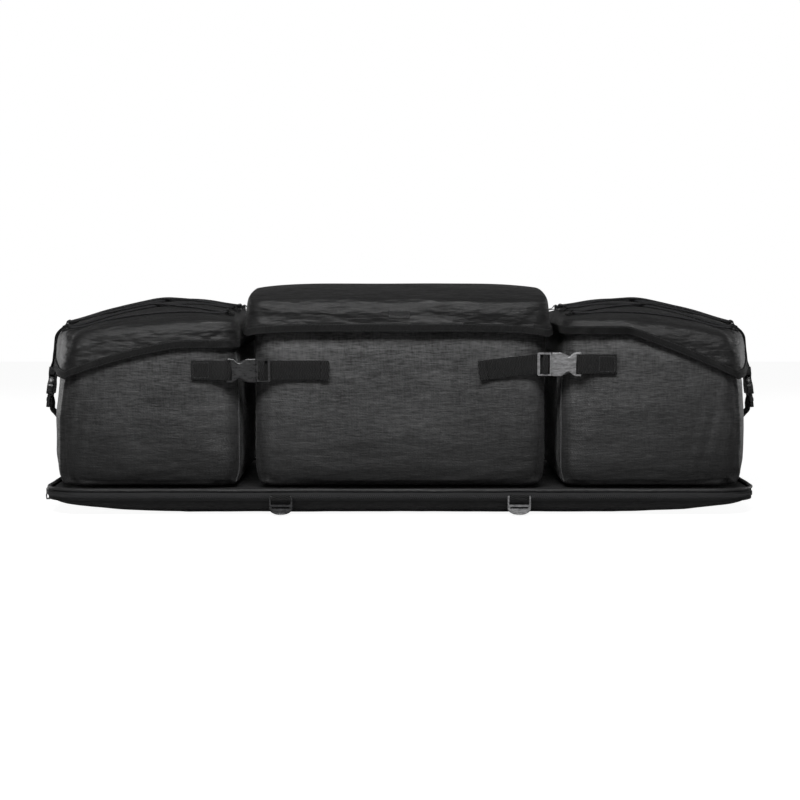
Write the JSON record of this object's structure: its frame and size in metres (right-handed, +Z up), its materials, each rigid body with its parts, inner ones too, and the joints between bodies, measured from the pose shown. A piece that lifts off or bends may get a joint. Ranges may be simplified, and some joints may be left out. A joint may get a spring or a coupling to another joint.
{
  "type": "all-terrain vehicle cargo bag",
  "caption": "Soft rack bag with a tall centre compartment between lower side compartments on a flat zipped base, with hanging lids, laced bungees, webbing and buckles.",
  "frame": {"origin": "middle of the flat underside, at the level it rests on", "axes": "+X along the rack to the right seen from the front, -Y out of the front, +Z up"},
  "size_m": [0.976, 0.4412, 0.296],
  "materials": {
    "bag_cloth": "fine woven polyester, dark grey, slight sheen",
    "lid_cloth": "fine woven polyester, nearly black",
    "binding": "ribbed webbing, black",
    "webbing": "ribbed webbing, black",
    "buckle_plastic": "moulded acetal, semi-gloss black",
    "ladder_lock_plastic": "moulded acetal, semi-gloss black",
    "bungee_cord": "braided elastic cord, black",
    "zip_cloth": "woven zip tape, black",
    "zip_coil": "nylon coil, black",
    "zip_metal": "black enamelled zinc",
    "closure": "hook and loop, black"
  },
  "bodies": {
    "bag": {"base_pouch": "bag_cloth", "center_compartment": "bag_cloth", "left_compartment": "bag_cloth", "right_compartment": "bag_cloth", "center_lid": "lid_cloth", "left_lid": "lid_cloth", "right_lid": "lid_cloth", "center_lid_binding": "binding", "left_lid_binding": "binding", "right_lid_binding": "binding", "base_piping": "binding", "left_front_tab": "webbing", "left_front_webbing": "webbing", "left_end_lid_webbing": "webbing", "left_end_body_webbing": "webbing", "left_front_lock_loop": "webbing", "left_rear_lock_loop": "webbing", "right_front_tab": "webbing", "right_front_webbing": "webbing", "right_end_lid_webbing": "webbing", "right_end_body_webbing": "webbing", "right_front_lock_loop": "webbing", "right_rear_lock_loop": "webbing", "left_outer_cord_loop_1": "webbing", "left_outer_cord_loop_2": "webbing", "left_outer_cord_loop_3": "webbing", "left_outer_cord_loop_4": "webbing", "left_inner_cord_loop_1": "webbing", "left_inner_cord_loop_2": "webbing", "left_inner_cord_loop_3": "webbing", "left_inner_cord_loop_4": "webbing", "right_outer_cord_loop_1": "webbing", "right_outer_cord_loop_2": "webbing", "right_outer_cord_loop_3": "webbing", "right_outer_cord_loop_4": "webbing", "right_inner_cord_loop_1": "webbing", "right_inner_cord_loop_2": "webbing", "right_inner_cord_loop_3": "webbing", "right_inner_cord_loop_4": "webbing", "left_front_buckle_socket": "buckle_plastic", "left_front_buckle_plug": "buckle_plastic", "left_end_buckle_socket": "buckle_plastic", "left_end_buckle_plug": "buckle_plastic", "right_front_buckle_socket": "buckle_plastic", "right_front_buckle_plug": "buckle_plastic", "right_end_buckle_socket": "buckle_plastic", "right_end_buckle_plug": "buckle_plastic", "left_bungee": "bungee_cord", "right_bungee": "bungee_cord", "zip_tape": "zip_cloth", "zip_coil": "zip_coil", "body_loop_strip": "closure", "lid_hook_strip": "closure"},
    "zip_slider": {"zip_slider": "zip_metal"},
    "zip_pull": {"zip_pull": "zip_metal"},
    "left_front_ladder_lock": {"left_front_ladder_lock": "ladder_lock_plastic"},
    "left_rear_ladder_lock": {"left_rear_ladder_lock": "ladder_lock_plastic"},
    "right_front_ladder_lock": {"right_front_ladder_lock": "ladder_lock_plastic"},
    "right_rear_ladder_lock": {"right_rear_ladder_lock": "ladder_lock_plastic"}
  },
  "joints": [
    {"name": "zip_slide", "type": "slide", "parent": "bag", "child": "zip_slider", "axis": [0, 1, 0], "range_m": [-0.03, 0.205]},
    {"name": "zip_pull_swing", "type": "hinge", "parent": "zip_slider", "child": "zip_pull", "pos_m": [-0.46905, -0.115, 0.0232], "axis": [0, 1, 0], "range_deg": [0, 150]},
    {"name": "left_front_ladder_lock_swing", "type": "hinge", "parent": "bag", "child": "left_front_ladder_lock", "pos_m": [-0.153, -0.217, 0.0236], "axis": [-1, 0, 0], "range_deg": [0, 150]},
    {"name": "left_rear_ladder_lock_swing", "type": "hinge", "parent": "bag", "child": "left_rear_ladder_lock", "pos_m": [-0.153, 0.217, 0.0236], "axis": [1, 0, 0], "range_deg": [0, 150]},
    {"name": "right_front_ladder_lock_swing", "type": "hinge", "parent": "bag", "child": "right_front_ladder_lock", "pos_m": [0.153, -0.217, 0.0236], "axis": [-1, 0, 0], "range_deg": [0, 150]},
    {"name": "right_rear_ladder_lock_swing", "type": "hinge", "parent": "bag", "child": "right_rear_ladder_lock", "pos_m": [0.153, 0.217, 0.0236], "axis": [1, 0, 0], "range_deg": [0, 150]}
  ]
}
